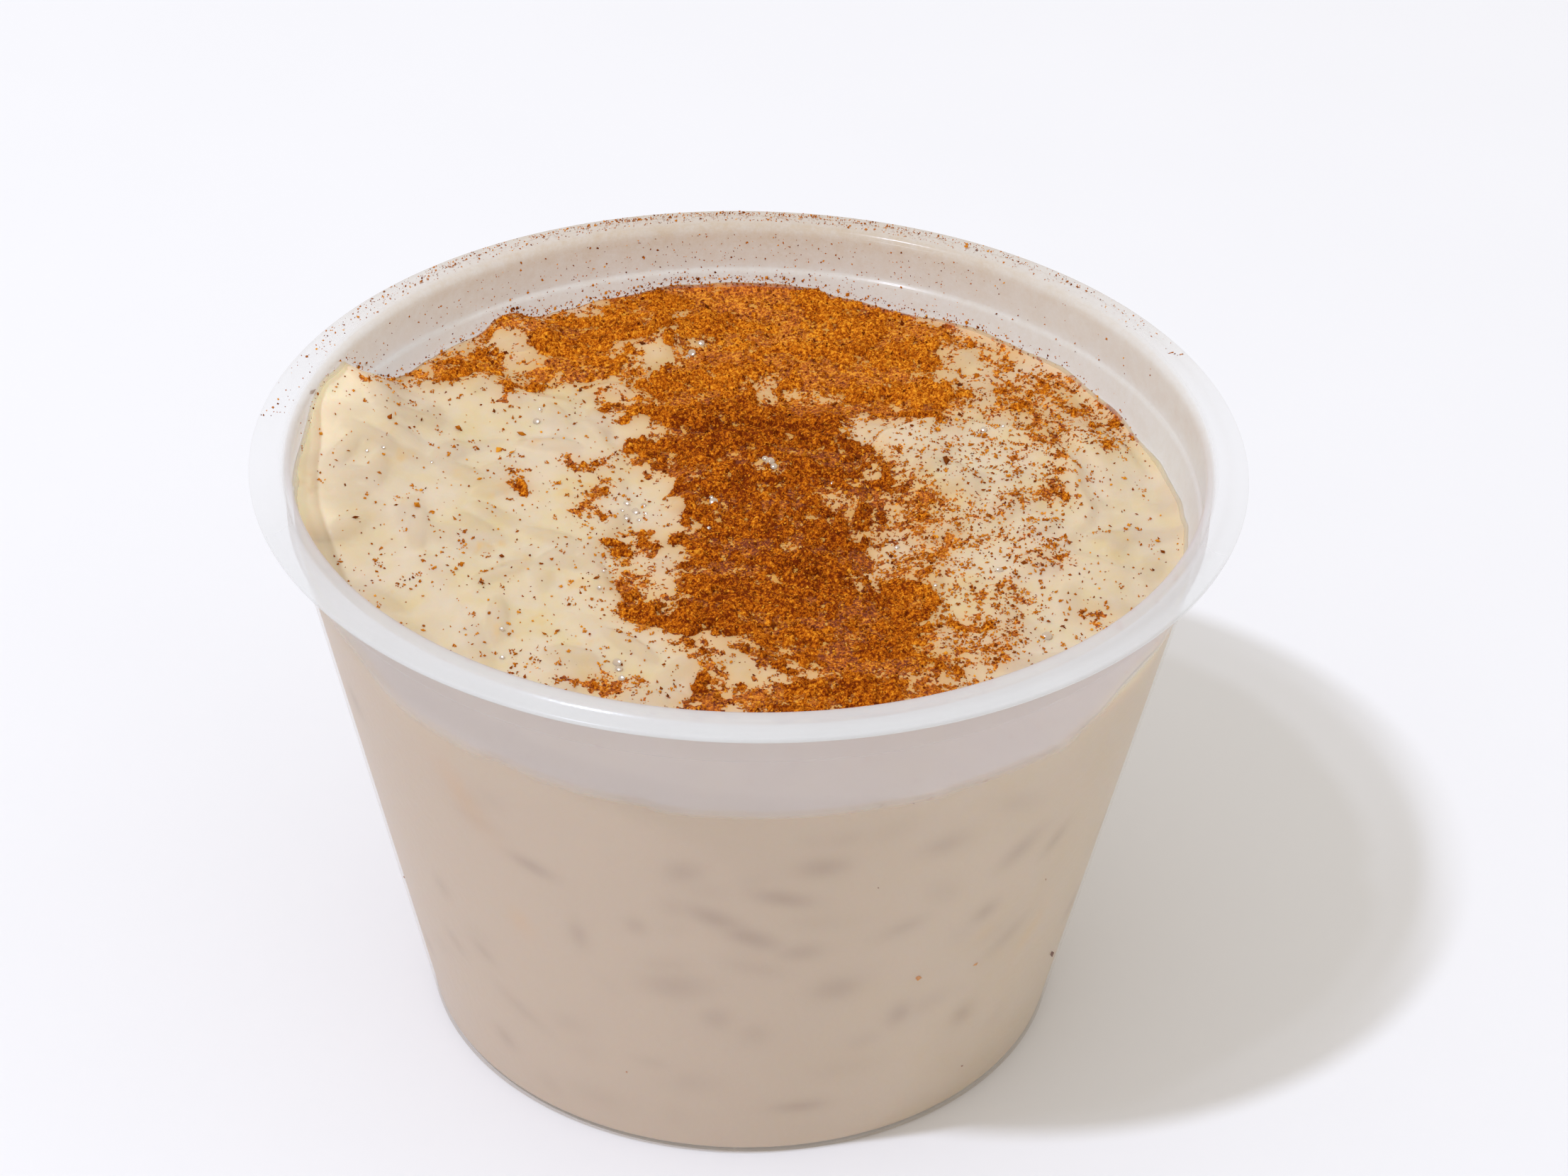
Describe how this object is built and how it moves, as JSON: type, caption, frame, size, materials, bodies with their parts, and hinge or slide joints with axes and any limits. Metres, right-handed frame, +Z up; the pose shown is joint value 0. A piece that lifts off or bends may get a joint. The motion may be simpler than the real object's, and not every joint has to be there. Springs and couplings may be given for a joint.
{
  "type": "rice pudding in portion cup",
  "caption": "Creamy rice pudding with an uneven spooned top dusted with ground cinnamon, filling a small translucent tapered plastic portion cup with a flat rim flange.",
  "frame": {"origin": "middle of the cup's flat base, on the surface it stands on", "axes": "+Z up along the cup's axis; -Y is the front, where the pudding lies lowest"},
  "size_m": [0.074, 0.074, 0.0478],
  "materials": {
    "cup_plastic": "satin",
    "pudding": "satin"
  },
  "bodies": {
    "root": {"cup": "cup_plastic", "pudding": "pudding"}
  },
  "joints": []
}
